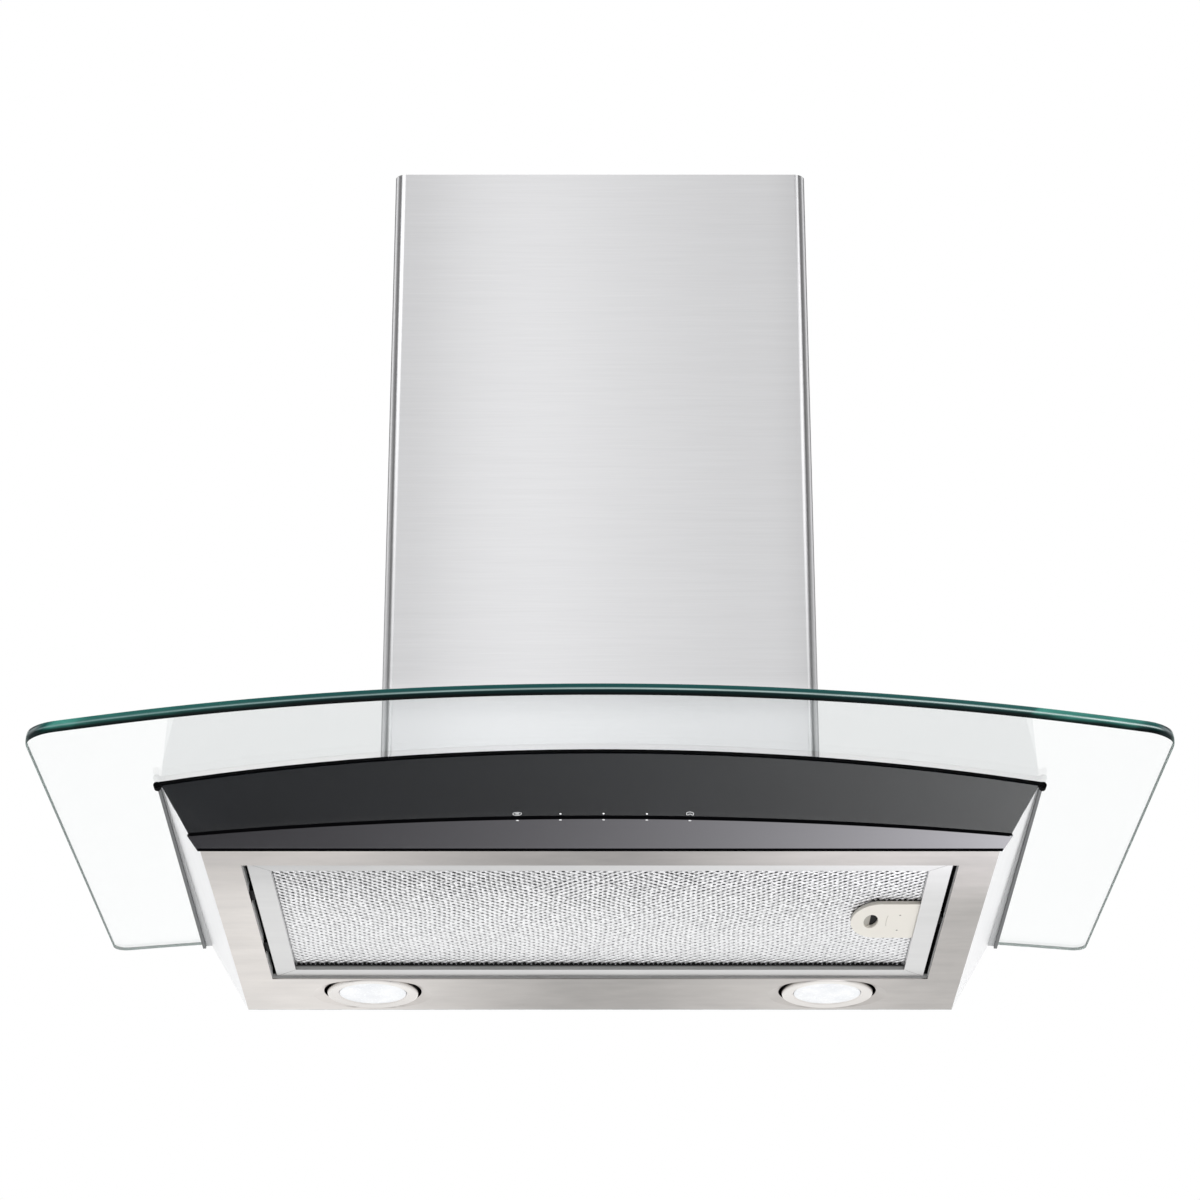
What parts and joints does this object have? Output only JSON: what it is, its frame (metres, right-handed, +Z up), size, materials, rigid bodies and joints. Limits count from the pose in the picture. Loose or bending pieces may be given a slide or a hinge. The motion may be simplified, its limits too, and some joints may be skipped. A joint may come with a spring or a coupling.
{
  "type": "wall range hood",
  "caption": "Wall-mounted range hood with an arched clear glass canopy, a steel chimney, a black touch fascia, a mesh grease filter and round lamps.",
  "frame": {"origin": "wall plane, on the centre line, at the height of the flat steel underside", "axes": "+Y into the wall, room at -Y; +X to the right seen from the room; +Z up"},
  "size_m": [0.7616, 0.486, 0.5755],
  "materials": {
    "canopy_glass": "clear tempered, polished edge",
    "black_glass": "black back-printed, glossy",
    "chimney_steel": "horizontal brush",
    "body_steel": "brushed",
    "galvanised": "galvanised sheet",
    "filter_aluminium": "satin",
    "filter_mesh": "expanded foil",
    "grey_seal": "matte",
    "black_seal": "matte",
    "cream_plastic": "moulded",
    "white_plastic": "moulded",
    "black_plastic": "moulded",
    "grey_plastic": "moulded",
    "lamp_lens": "frosted",
    "lamp_metal": "satin ring",
    "zinc": "zinc plated",
    "spring_steel": "bright",
    "pcb": "solder mask",
    "motor_alu": "die cast",
    "shaft_steel": "ground",
    "capacitor_can": "drawn can",
    "cable_black": "PVC sheath"
  },
  "bodies": {
    "hood": {"glass_canopy": "canopy_glass", "side_glass_seals": "grey_seal", "chimney_lower": "chimney_steel", "chimney_hold_brackets": "galvanised", "underside_pan": "body_steel", "back_plate": "galvanised", "top_deck": "body_steel", "front_wall": "galvanised", "fascia_glass": "black_glass", "fascia_top_trim": "black_seal", "fascia_tapes": "black_seal", "underside_strip": "black_glass", "indicator_lenses": "lamp_lens", "touch_board": "pcb", "control_box": "grey_plastic", "filter_seat": "galvanised", "filter_catch": "spring_steel", "lamp_bezels": "lamp_metal", "lamp_lenses": "lamp_lens", "lamp_housings": "galvanised", "led_modules": "pcb", "lamp_spring_clips": "spring_steel", "led_driver": "white_plastic", "blower_box": "galvanised", "m4_screws": "zinc", "glass_clamps": "galvanised", "glass_clamp_pads": "black_seal", "scroll_left": "white_plastic", "scroll_right": "white_plastic", "fan_screws": "zinc", "motor_body": "motor_alu", "motor_bracket": "galvanised", "motor_bushes": "black_seal", "capacitor": "capacitor_can", "outlet_collar": "black_plastic", "flap_pins": "zinc", "terminal_box": "grey_plastic", "terminal_lid": "grey_plastic", "terminal_block": "white_plastic", "cable_gland": "black_plastic", "gland_nut": "black_plastic", "mains_cable": "cable_black", "low_voltage_cables": "cable_black"},
    "rotor": {"impeller": "grey_plastic", "motor_shaft": "shaft_steel", "impeller_nut": "zinc"},
    "filter": {"filter_frame": "filter_aluminium", "filter_mesh_outer": "filter_mesh", "filter_mesh_core": "filter_mesh", "filter_mesh_inner": "filter_mesh", "filter_hinge_tabs": "zinc", "latch_stop": "zinc", "latch_spring": "spring_steel"},
    "latch": {"filter_latch": "cream_plastic"},
    "upper_chimney": {"chimney_upper": "chimney_steel", "upper_bracket": "galvanised", "upper_bracket_screws": "zinc"},
    "flap_l": {"flap_left": "black_plastic"},
    "flap_r": {"flap_right": "black_plastic"}
  },
  "joints": [
    {"name": "impeller_spin", "type": "hinge", "parent": "hood", "child": "rotor", "pos_m": [0, -0.155, 0.18], "axis": [1, 0, 0], "continuous": true},
    {"name": "flap_left_hinge", "type": "hinge", "parent": "hood", "child": "flap_l", "pos_m": [-0.0042, -0.105, 0.3384], "axis": [0, 1, 0], "range_deg": [0, 80]},
    {"name": "flap_right_hinge", "type": "hinge", "parent": "hood", "child": "flap_r", "pos_m": [0.0042, -0.105, 0.3384], "axis": [0, -1, 0], "range_deg": [0, 80]},
    {"name": "filter_swing", "type": "hinge", "parent": "hood", "child": "filter", "pos_m": [-0.2438, -0.204, 0.0035], "axis": [0, 1, 0], "range_deg": [0, 80], "deforming": ["filter_catch"]},
    {"name": "latch_slide", "type": "slide", "parent": "filter", "child": "latch", "axis": [-1, 0, 0], "range_m": [0, 0.004], "stiffness_N_per_m": 400, "springref_m": -0.003, "deforming": ["latch_spring"]},
    {"name": "chimney_slide", "type": "slide", "parent": "hood", "child": "upper_chimney", "axis": [0, 0, 1], "range_m": [0, 0.38]}
  ]
}
